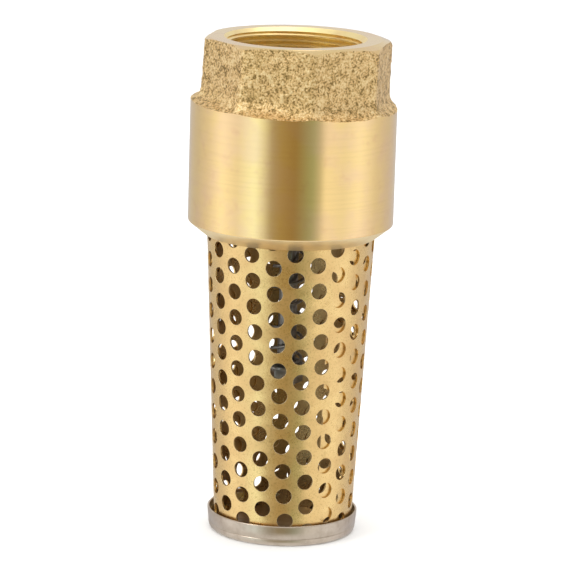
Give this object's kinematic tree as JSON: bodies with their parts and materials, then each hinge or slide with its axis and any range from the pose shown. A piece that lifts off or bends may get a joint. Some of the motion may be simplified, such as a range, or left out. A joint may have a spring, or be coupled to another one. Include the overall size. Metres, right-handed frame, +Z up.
{
  "type": "foot valve",
  "caption": "Pump foot valve: threaded eight-sided pipe end, turned barrel with a spring-loaded poppet inside, and a tapered perforated strainer closed by a cap.",
  "frame": {"origin": "centre of the cap's underside, on the valve's axis", "axes": "+Z up the axis to the pipe outlet; +X out through the middle of one wrench flat"},
  "size_m": [0.0886, 0.0886, 0.2167],
  "materials": {
    "cast_brass": "turned barrel, sand-cast wrench end and shoulder",
    "machined_brass": "turned and milled",
    "sheet_brass": "rolled, perforated sheet",
    "bronze": "turned bearing bronze",
    "stainless": "turned",
    "spring_steel": "drawn wire and stamped strip",
    "cap_steel": "drawn sheet, satin",
    "nitrile": "moulded, matte",
    "solder": "cast in place"
  },
  "bodies": {
    "housing": {"body": "cast_brass", "guide_retaining_ring": "spring_steel", "upper_guide": "machined_brass", "upper_bush": "bronze", "return_spring": "spring_steel", "seat_ring": "machined_brass", "seat_o_ring": "nitrile", "lower_guide": "machined_brass", "lower_bush": "bronze", "strainer_collar": "machined_brass", "strainer_screen": "sheet_brass", "strainer_cap": "cap_steel", "cap_solder": "solder"},
    "poppet": {"poppet_stem": "stainless", "poppet_disc": "machined_brass", "poppet_seal": "nitrile", "seal_retainer": "machined_brass", "lock_washer": "spring_steel", "stem_nut": "stainless", "tail_nut": "stainless", "spring_washer": "stainless"}
  },
  "joints": [
    {"name": "poppet_lift", "type": "slide", "parent": "housing", "child": "poppet", "axis": [0, 0, 1], "range_m": [0, 0.01], "stiffness_N_per_m": 400, "springref_m": -0.0175, "deforming": ["return_spring"]}
  ]
}
